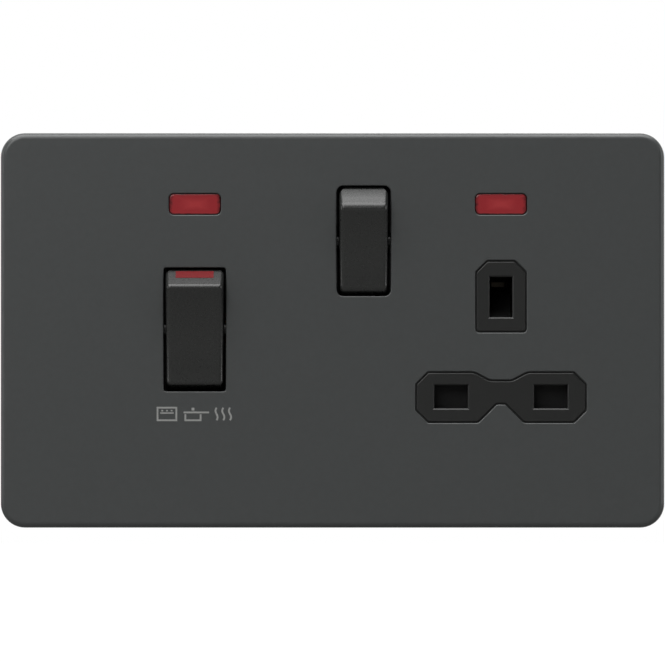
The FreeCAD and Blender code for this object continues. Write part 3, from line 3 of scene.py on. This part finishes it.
import bpy
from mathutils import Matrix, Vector


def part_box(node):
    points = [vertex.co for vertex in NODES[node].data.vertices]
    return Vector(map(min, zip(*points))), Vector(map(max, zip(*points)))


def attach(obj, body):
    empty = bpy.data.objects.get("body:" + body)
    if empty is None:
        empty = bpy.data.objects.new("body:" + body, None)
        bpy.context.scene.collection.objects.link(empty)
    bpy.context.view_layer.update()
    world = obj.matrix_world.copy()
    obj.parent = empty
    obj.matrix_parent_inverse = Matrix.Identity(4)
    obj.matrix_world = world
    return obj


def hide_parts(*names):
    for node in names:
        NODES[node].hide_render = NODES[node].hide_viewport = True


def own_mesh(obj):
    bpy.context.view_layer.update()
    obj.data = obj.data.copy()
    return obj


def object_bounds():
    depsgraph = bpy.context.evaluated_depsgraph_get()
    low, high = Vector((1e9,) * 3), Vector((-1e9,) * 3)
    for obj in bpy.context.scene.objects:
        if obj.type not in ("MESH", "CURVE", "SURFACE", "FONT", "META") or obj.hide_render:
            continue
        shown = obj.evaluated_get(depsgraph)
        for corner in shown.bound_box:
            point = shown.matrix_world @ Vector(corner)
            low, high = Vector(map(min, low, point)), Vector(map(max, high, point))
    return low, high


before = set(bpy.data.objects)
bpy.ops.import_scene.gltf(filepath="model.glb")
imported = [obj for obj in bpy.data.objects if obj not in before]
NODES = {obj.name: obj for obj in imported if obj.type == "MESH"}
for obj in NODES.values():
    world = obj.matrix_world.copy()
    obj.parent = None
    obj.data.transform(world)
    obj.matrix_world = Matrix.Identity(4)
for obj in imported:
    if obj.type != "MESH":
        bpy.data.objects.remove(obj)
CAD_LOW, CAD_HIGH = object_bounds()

MM = 0.001
FACE_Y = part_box("front_plate")[0].y

# Values between which nearly all of a noise texture lies
NOISE_LOW = 0.3
NOISE_HIGH = 0.7

# How much noise blurs the bands of colour in a pane, and how fine it is
PANE_BLUR = 0.25
PANE_BLUR_SCALE = 900


def srgb(r, g, b):
    """A colour given as 0 to 255 in the usual screen scale, as linear light."""
    out = []
    for value in (r, g, b):
        v = value / 255
        out.append(v / 12.92 if v <= 0.04045 else ((v + 0.055) / 1.055) ** 2.4)
    return (*out, 1.0)


def shade(colour, factor):
    """A colour made darker or lighter by a factor."""
    return (colour[0] * factor, colour[1] * factor, colour[2] * factor, 1.0)


class Surface:
    """A procedural material with mottled colour, a grain in the gloss and a fine bump."""

    def __init__(self, name):
        self.material = bpy.data.materials.new(name)
        self.material.use_nodes = True
        self.nodes = self.material.node_tree.nodes
        self.links = self.material.node_tree.links
        self.shader = self.nodes["Principled BSDF"]
        coords = self.nodes.new("ShaderNodeTexCoord")
        self.coords = coords.outputs["Object"]

    def set(self, **values):
        """Set sockets of the shader, by their names with _ for a space."""
        for name, value in values.items():
            self.shader.inputs[name.replace("_", " ")].default_value = value
        return self

    def noise(self, scale, stretch=None):
        texture = self.nodes.new("ShaderNodeTexNoise")
        texture.inputs["Scale"].default_value = scale
        texture.inputs["Detail"].default_value = 3.0
        texture.inputs["Roughness"].default_value = 0.55
        source = self.coords
        if stretch:
            mapping = self.nodes.new("ShaderNodeMapping")
            mapping.inputs["Scale"].default_value = stretch
            self.links.new(source, mapping.inputs["Vector"])
            source = mapping.outputs["Vector"]
        self.links.new(source, texture.inputs["Vector"])
        return texture.outputs["Fac"]

    def tint(self, value, stops):
        """Base colour by a value; stops are pairs of place and colour, in rising order."""
        node = self.nodes.new("ShaderNodeValToRGB")
        elements = node.color_ramp.elements
        first, *middle, last = stops
        elements[0].position, elements[0].color = first
        elements[1].position, elements[1].color = last
        for place, colour in middle:
            elements.new(place).color = colour
        self.links.new(value, node.inputs["Fac"])
        self.links.new(node.outputs["Color"], self.shader.inputs["Base Color"])
        return self

    def mottle(self, colour, spread, scale, stretch=None):
        """Two shades of one colour, spread apart by a share of it."""
        stops = [(NOISE_LOW, shade(colour, 1 - spread)), (NOISE_HIGH, shade(colour, 1 + spread))]
        return self.tint(self.noise(scale, stretch), stops)

    def gloss(self, low, high, scale, stretch=None):
        """Roughness that wanders between low and high."""
        node = self.nodes.new("ShaderNodeMapRange")
        node.inputs["From Min"].default_value = NOISE_LOW
        node.inputs["From Max"].default_value = NOISE_HIGH
        node.inputs["To Min"].default_value = low
        node.inputs["To Max"].default_value = high
        self.links.new(self.noise(scale, stretch), node.inputs["Value"])
        self.links.new(node.outputs["Result"], self.shader.inputs["Roughness"])
        return self

    def relief(self, height, depth, strength):
        """Bump from a height of 0 to 1, that stands for depth in metres."""
        node = self.nodes.new("ShaderNodeBump")
        node.inputs["Strength"].default_value = strength
        node.inputs["Distance"].default_value = depth
        self.links.new(height, node.inputs["Height"])
        self.links.new(node.outputs["Normal"], self.shader.inputs["Normal"])
        return self

    def grain(self, scale, depth, strength, stretch=None):
        """Fine relief from noise."""
        return self.relief(self.noise(scale, stretch), depth, strength)

    def compute(self, operation, first, second=None, value=0.0):
        node = self.nodes.new("ShaderNodeMath")
        node.operation = operation
        node.inputs[1].default_value = value
        self.links.new(first, node.inputs[0])
        if second:
            self.links.new(second, node.inputs[1])
        return node.outputs[0]

    def pane(self, share, stops):
        """Colours by the distance from the middle of a pane to its rim, from 0 to 1, blurred by noise.

        share is the pane's part of the width and height of the whole node, its flange included."""
        coords = self.nodes.new("ShaderNodeTexCoord")
        parts = self.nodes.new("ShaderNodeSeparateXYZ")
        self.links.new(coords.outputs["Generated"], parts.inputs[0])
        reach = []
        for axis, part in zip("XZ", share):
            offset = self.compute("SUBTRACT", parts.outputs[axis], value=0.5)
            reach.append(self.compute("MULTIPLY", self.compute("ABSOLUTE", offset), value=2 / part))
        wander = self.compute("SUBTRACT", self.noise(PANE_BLUR_SCALE), value=0.5)
        blur = self.compute("MULTIPLY", wander, value=PANE_BLUR)
        return self.tint(self.compute("ADD", self.compute("MAXIMUM", *reach), blur), stops)

    def thread(self, pitch, depth):
        """Fine rings across Y, as on a screw shank."""
        wave = self.nodes.new("ShaderNodeTexWave")
        wave.wave_type = "BANDS"
        wave.bands_direction = "Y"
        wave.inputs["Scale"].default_value = math.pi / (10 * pitch)
        self.links.new(self.coords, wave.inputs["Vector"])
        return self.relief(wave.outputs["Fac"], depth, 0.6)


PLASTIC_GRAIN = 0.010 * MM
COAT_GRAIN = 0.010 * MM
METAL_GRAIN = 0.004 * MM
GLASS_GRAIN = 0.005 * MM
THREAD_PITCH = 0.7 * MM
THREAD_DEPTH = 0.15 * MM


def powder_coat(name, colour):
    s = Surface(name).mottle(colour, spread=0.05, scale=900)
    return s.gloss(low=0.30, high=0.38, scale=1400).grain(3200, COAT_GRAIN, strength=0.2)


def moulded(name, colour, low=0.30, high=0.38, grain=5200, strength=0.15):
    s = Surface(name).mottle(colour, spread=0.06, scale=1200)
    return s.gloss(low, high, scale=2200).grain(grain, PLASTIC_GRAIN, strength)


def metal(name, colour, low, high, stretch=(1, 1, 1)):
    """A metal, with its grain drawn out along the axes where stretch is small."""
    s = Surface(name).mottle(colour, spread=0.04, scale=900, stretch=stretch)
    s.gloss(low, high, scale=1500, stretch=stretch)
    return s.grain(4500, METAL_GRAIN, strength=0.15, stretch=stretch).set(Metallic=1.0)


PLATE = powder_coat("anthracite_powder_coat", srgb(53, 55, 55))
BLACK = moulded("black_moulding", srgb(15, 16, 15))
HOUSING = moulded("black_housing", srgb(38, 39, 40), low=0.42, high=0.52, grain=2600, strength=0.3)
ROCKER = moulded("rocker_plastic", srgb(26, 27, 26), low=0.26, high=0.32, grain=6500, strength=0.12)
FLAG = moulded("red_flag", srgb(96, 16, 20), low=0.34, high=0.42, grain=5000)
FLAG.set(Specular_IOR_Level=0.14)
SHUTTER = moulded("black_shutter", srgb(7, 7, 7), low=0.5, high=0.6)
SHUTTER.set(Specular_IOR_Level=0.25)
ACETAL = moulded("white_acetal", srgb(214, 213, 206), low=0.35, high=0.45)
LACQUER = moulded("resistor_lacquer", srgb(176, 150, 108), low=0.25, high=0.35)
INK = moulded("pale_ink", srgb(124, 125, 123), low=0.45, high=0.55)
COPPER = metal("rolled_copper", srgb(196, 128, 98), low=0.24, high=0.32, stretch=(1, 1, 0.15))
BRASS = metal("machined_brass", srgb(206, 176, 110), low=0.24, high=0.30, stretch=(1, 0.2, 1))
BRONZE = metal("phosphor_bronze", srgb(196, 156, 104), low=0.24, high=0.36, stretch=(1, 0.15, 1))
TINNED = metal("tinned_brass", srgb(128, 120, 108), low=0.30, high=0.40, stretch=(1, 0.15, 1))
ZINC = metal("zinc_plate", srgb(176, 178, 176), low=0.22, high=0.36)
SCREW = metal("screw_steel", srgb(178, 180, 178), low=0.22, high=0.34)
SCREW.thread(THREAD_PITCH, THREAD_DEPTH)

# The lens's colour holds a painted glow, lighter in the middle as if lit by its lamp behind, and painted
# shade darkening its rim
LENS_PAINTED_GLOW = srgb(154, 48, 51)
LENS_RED = srgb(140, 36, 41)
LENS_RIM_PAINTED_SHADE = srgb(46, 8, 12)
LENS_PANE = (0.86, 0.72)
LENS = Surface("red_lens").gloss(low=0.14, high=0.22, scale=900).grain(1800, PLASTIC_GRAIN, strength=0.2)
# Painted glow in the middle and painted shade at the rim, laid over the lens's own red
LENS.pane(LENS_PANE, [(0.15, LENS_PAINTED_GLOW), (0.6, LENS_RED), (0.84, LENS_RED), (1.0, LENS_RIM_PAINTED_SHADE)])
LENS.set(Transmission_Weight=0.2, IOR=1.49)
GLASS = Surface("lamp_glass").mottle(srgb(236, 222, 214), spread=0.03, scale=300)
GLASS.gloss(low=0.03, high=0.08, scale=900).grain(900, GLASS_GRAIN, strength=0.1)
GLASS.set(Transmission_Weight=0.9, IOR=1.5)

FINISH = {
    "front_plate": PLATE,
    "front_moulding": BLACK,
    "rear_housing": HOUSING,
    "cooker_lens": LENS,
    "socket_lens": LENS,
    "cooker_neon_lamp": GLASS,
    "socket_neon_lamp": GLASS,
    "cooker_neon_resistor": LACQUER,
    "socket_neon_resistor": LACQUER,
    "cooker_rocker": ROCKER,
    "socket_rocker": ROCKER,
    "cooker_on_flag": FLAG,
    "bus_bar_line": COPPER,
    "bus_bar_neutral": COPPER,
    "socket_line_contact": BRONZE,
    "socket_neutral_contact": BRONZE,
    "earth_contact": TINNED,
    "earth_strap": BRASS,
    "earth_terminal_block": BRASS,
    "terminal_screws": SCREW,
    "housing_screws": SCREW,
    "shutter": SHUTTER,
    "shutter_spring": ZINC,
    "plate_earth_clip": ZINC,
}
for pole in ("line", "neutral"):
    for which in ("cooker", "socket"):
        FINISH[which + "_plunger_" + pole] = ACETAL
        FINISH[which + "_spring_" + pole] = ZINC
        FINISH[which + "_contact_arm_" + pole] = COPPER
    FINISH["cooker_common_strap_" + pole] = COPPER
    FINISH["cooker_load_strap_" + pole] = COPPER
    FINISH["cooker_supply_terminal_" + pole] = BRASS
    FINISH["cooker_load_terminal_" + pole] = BRASS


def dress(obj, surface):
    obj.data.materials.clear()
    obj.data.materials.append(surface.material)


for name, node in NODES.items():
    dress(node, FINISH[name])


def shown(name, data):
    """A new object of the scene."""
    obj = bpy.data.objects.new(name, data)
    bpy.context.scene.collection.objects.link(obj)
    return obj


def drawn(name, verts, faces):
    """A new mesh."""
    mesh = bpy.data.meshes.new(name)
    mesh.from_pydata(verts, [], faces)
    mesh.update()
    return mesh


# Printed mark under the cooker switch: a plain oven, pan and heat sign in pale ink
INK_T = 0.02 * MM
MARK_DROP = 4.9 * MM
ROCKER_LOW, ROCKER_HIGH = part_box("cooker_rocker")
MARK_X = (ROCKER_LOW.x + ROCKER_HIGH.x) / 2
MARK_Z = ROCKER_LOW.z - MARK_DROP
MARK_W = 17.0 * MM
MARK_H = 3.2 * MM
STROKE = 0.40 * MM


class Ink:
    """Flat strokes lying on the plate, gathered into one mesh with no stroke over another."""

    def __init__(self):
        self.verts = []
        self.faces = []

    def strip(self, left, right, closed=False):
        """A band between two rows of points, with its edges standing on the plate."""
        first = len(self.verts)
        count = len(left)
        for a, b in zip(left, right):
            for x, z in (a, b):
                self.verts.append((x, FACE_Y - INK_T, z))
                self.verts.append((x, FACE_Y, z))
        for i in range(count if closed else count - 1):
            at = first + 4 * i
            to = first + 4 * ((i + 1) % count)
            self.faces.append((at + 2, to + 2, to, at))
            self.faces.append((at, to, to + 1, at + 1))
            self.faces.append((at + 3, to + 3, to + 2, at + 2))
        if not closed:
            end = first + 4 * (count - 1)
            self.faces.append((first + 1, first + 3, first + 2, first))
            self.faces.append((end, end + 2, end + 3, end + 1))

    def path(self, points, width=STROKE, closed=False):
        """A stroke of even width along points, mitred where it turns."""
        left = []
        right = []
        count = len(points)
        for i, point in enumerate(points):
            here = Vector(point)
            before = Vector(points[i - 1]) if i or closed else None
            after = Vector(points[(i + 1) % count]) if i < count - 1 or closed else None
            come = (here - before).normalized() if before else (after - here).normalized()
            go = (after - here).normalized() if after else come
            along = (come + go).normalized()
            side = Vector((-along.y, along.x)) * width / 2 / along.dot(come)
            left.append(tuple(here + side))
            right.append(tuple(here - side))
        self.strip(left, right, closed)

    def bar(self, x0, x1, z0, z1):
        z = (z0 + z1) / 2
        self.path([(x0, z), (x1, z)], z1 - z0)

    def frame(self, x0, x1, z0, z1):
        self.path([(x0, z0), (x1, z0), (x1, z1), (x0, z1)], closed=True)


OVEN_W = 4.2 * MM
KNOBS = 3
KNOB_H = 0.36 * MM
RAIL_DROP = 0.95 * MM
RAIL_T = 0.32 * MM
RAIL_INSET = 0.6 * MM
RAIL_GAP = 0.08 * MM
KNOB_GAP = 0.12 * MM
PAN_AT = 6.2 * MM
PAN_W = 3.4 * MM
PAN_RIM = 0.35 * MM
HANDLE = 1.9 * MM
LID_KNOB_W = 0.64 * MM
WAVES = 3
WAVE_STEP = 1.5 * MM
WAVE_SWING = 0.24 * MM
WAVE_POINTS = 16


def draw_oven(ink, left, half):
    """A case with a row of knobs over the rail of its door."""
    ink.frame(left, left + OVEN_W, MARK_Z - half, MARK_Z + half)
    rail = MARK_Z + half - RAIL_DROP
    for i in range(KNOBS):
        x = left + OVEN_W * (i + 1) / (KNOBS + 1)
        ink.bar(x - STROKE / 2, x + STROKE / 2, rail + KNOB_GAP, rail + KNOB_GAP + KNOB_H)
    top = rail - RAIL_GAP
    ink.bar(left + RAIL_INSET, left + OVEN_W - RAIL_INSET, top - RAIL_T, top)


def draw_pan(ink, left, half):
    """A pan under a lid with a knob, and its long handle."""
    right = left + PAN_W
    middle = left + PAN_W / 2
    foot = MARK_Z - half
    rim = MARK_Z + PAN_RIM
    wall = rim - STROKE
    ink.path([(left, wall), (left, foot), (right, foot), (right, wall)])
    ink.path([(left - STROKE, rim), (right + HANDLE, rim)])
    ink.path([(middle, rim + STROKE), (middle, MARK_Z + half)], LID_KNOB_W)


def draw_wave(ink, x, half):
    """One upright wave of heat."""
    points = []
    for i in range(WAVE_POINTS + 1):
        t = i / WAVE_POINTS
        points.append((x + WAVE_SWING * math.sin(2 * math.pi * t), MARK_Z + (2 * t - 1) * half))
    ink.path(points)


def cooking_mark():
    """The printed mark, which takes the place of a word in the photograph."""
    ink = Ink()
    half = (MARK_H - STROKE) / 2
    left = MARK_X - MARK_W / 2 + STROKE / 2
    last_wave = MARK_X + MARK_W / 2 - STROKE - WAVE_SWING
    draw_oven(ink, left, half)
    draw_pan(ink, left + PAN_AT, half)
    for i in range(WAVES):
        draw_wave(ink, last_wave - WAVE_STEP * i, half)
    mark = shown("cooking_mark", drawn("cooking_mark", ink.verts, ink.faces))
    dress(mark, INK)
    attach(mark, "cover")


def return_spring():
    """The shutter's coil, in place of its CAD node because it shortens as the shutter goes down."""
    spring = shown("return_spring", NODES["shutter_spring"].data.copy())
    dress(spring, ZINC)
    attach(spring, "housing")
    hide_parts("shutter_spring")
    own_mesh(spring)


cooking_mark()
return_spring()


# Camera: straight on, through a long lens, as in the photograph
PHOTO_W = 665
PIXELS_PER_MM = 4.487
LENS_MM = 300.0
SENSOR_MM = 36.0
PHOTO_CENTRE_Z = -0.13 * MM


def studio_camera():
    """A camera that sees the object at the photograph's own scale."""
    data = bpy.data.cameras.new("camera")
    data.lens = LENS_MM
    data.sensor_width = SENSOR_MM
    data.clip_start = 0.01
    data.clip_end = 50
    view_w = PHOTO_W / PIXELS_PER_MM * MM
    camera = shown("camera", data)
    camera.location = (0, FACE_Y - view_w * LENS_MM / SENSOR_MM, PHOTO_CENTRE_Z)
    camera.rotation_euler = (math.radians(90), 0, 0)
    return camera


# White studio: floor and backdrop look white, and the room behind the camera is dim
ROOM_LIGHT = 0.16
BACKDROP_FROM = -0.1
BACKDROP_TO = 0.3
FLOOR_GAP = 0.05
FLOOR_Z = CAD_LOW.z - FLOOR_GAP
FLOOR_HALF = 1.2
FLOOR_LIFT = 0.64
FLOOR_EDGE_LIFT = 0.80


class Studio:
    """A node tree of the studio, with short ways to add what its world and its floor share."""

    def __init__(self, tree):
        self.tree = tree
        path = tree.nodes.new("ShaderNodeLightPath")
        self.glossy = path.outputs["Is Glossy Ray"]
        self.seen = self.math("MAXIMUM", path.outputs["Is Camera Ray"], path.outputs["Is Transmission Ray"])

    def add(self, kind, *sources):
        """A node whose first inputs come from these sources."""
        node = self.tree.nodes.new(kind)
        for socket, source in zip(node.inputs, sources):
            self.tree.links.new(source, socket)
        return node

    def math(self, operation, *sources):
        node = self.add("ShaderNodeMath", *sources)
        node.operation = operation
        return node.outputs[0]

    def glow(self, kind, strength):
        """White light of a fixed strength."""
        node = self.add(kind)
        node.inputs["Color"].default_value = (1, 1, 1, 1)
        node.inputs["Strength"].default_value = strength
        return node.outputs[0]

    def between(self, value, low, high, start=0.0, end=1.0):
        """A value's range from low to high laid over start to end."""
        node = self.add("ShaderNodeMapRange", value)
        node.inputs["From Min"].default_value = low
        node.inputs["From Max"].default_value = high
        node.inputs["To Min"].default_value = start
        node.inputs["To Max"].default_value = end
        return node.outputs["Result"]

    def show(self, output, surface):
        self.tree.links.new(surface, self.tree.nodes[output].inputs["Surface"])


def studio_world():
    """A dim even room, white where it is seen and in what the object's far side mirrors."""
    world = bpy.data.worlds.new("studio")
    world.use_nodes = True
    studio = Studio(world.node_tree)
    coords = studio.add("ShaderNodeTexCoord")
    y = studio.add("ShaderNodeSeparateXYZ", coords.outputs["Generated"]).outputs["Y"]
    backdrop = studio.between(y, BACKDROP_FROM, BACKDROP_TO)
    mirrored = studio.math("MULTIPLY", studio.glossy, backdrop)
    white = studio.math("MAXIMUM", studio.seen, mirrored)
    room = studio.glow("ShaderNodeBackground", ROOM_LIGHT)
    bright = studio.glow("ShaderNodeBackground", 1.0)
    studio.show("World Output", studio.add("ShaderNodeMixShader", white, room, bright).outputs[0])
    return world


def studio_floor():
    """A pale floor that keeps shadows, lifted to white where it is seen, most at its edges."""
    corners = [(x * FLOOR_HALF, y * FLOOR_HALF, FLOOR_Z) for x, y in ((-1, -1), (1, -1), (1, 1), (-1, 1))]
    floor = shown("floor", drawn("floor", corners, [(0, 1, 2, 3)]))
    surface = Surface("floor_white").mottle(srgb(122, 122, 121), spread=0.01, scale=4)
    surface.gloss(low=0.7, high=0.8, scale=20)
    studio = Studio(surface.material.node_tree)
    away = studio.add("ShaderNodeVectorMath", surface.coords)
    away.operation = "LENGTH"
    fade = studio.between(away.outputs["Value"], 2 * FLOOR_GAP, FLOOR_HALF, FLOOR_LIFT, FLOOR_EDGE_LIFT)
    lift = studio.glow("ShaderNodeEmission", 0.0)
    studio.tree.links.new(studio.math("MULTIPLY", studio.seen, fade), lift.node.inputs["Strength"])
    both = studio.add("ShaderNodeAddShader", surface.shader.outputs[0], lift)
    studio.show("Material Output", both.outputs[0])
    dress(floor, surface)


def soft_box(name, place, target, size, radiance):
    """A large soft lamp aimed at target, as bright as radiance where it is mirrored."""
    data = bpy.data.lights.new(name, "AREA")
    data.shape = "RECTANGLE"
    data.size, data.size_y = size
    data.energy = radiance * math.pi * size[0] * size[1]
    lamp = shown(name, data)
    lamp.location = place
    aim = Vector(target) - Vector(place)
    lamp.rotation_euler = aim.to_track_quat("-Z", "Y").to_euler()


OBJECT_AT = (0, 0, 0)
SIDE_SIZE = (0.35, 0.9)

bpy.context.scene.camera = studio_camera()
bpy.context.scene.world = studio_world()
studio_floor()
soft_box("top_box", place=(-0.1, -0.35, 0.95), target=(-0.1, -0.35, 0), size=(1.4, 1.0), radiance=5.0)
soft_box("key_box", place=(-0.6, -1.35, 0.85), target=OBJECT_AT, size=(1.0, 0.9), radiance=3.4)
soft_box("front_box", place=(-0.5, -1.5, 0.42), target=OBJECT_AT, size=(1.3, 0.4), radiance=0.6)
soft_box("left_box", place=(-1.2, -0.35, 0.1), target=OBJECT_AT, size=SIDE_SIZE, radiance=3.2)
soft_box("right_box", place=(1.2, -0.35, 0.1), target=OBJECT_AT, size=SIDE_SIZE, radiance=3.8)
soft_box("back_box", place=(0.5, 1.5, 0.7), target=OBJECT_AT, size=(1.2, 1.0), radiance=2.2)

bpy.context.scene.view_settings.view_transform = "Standard"
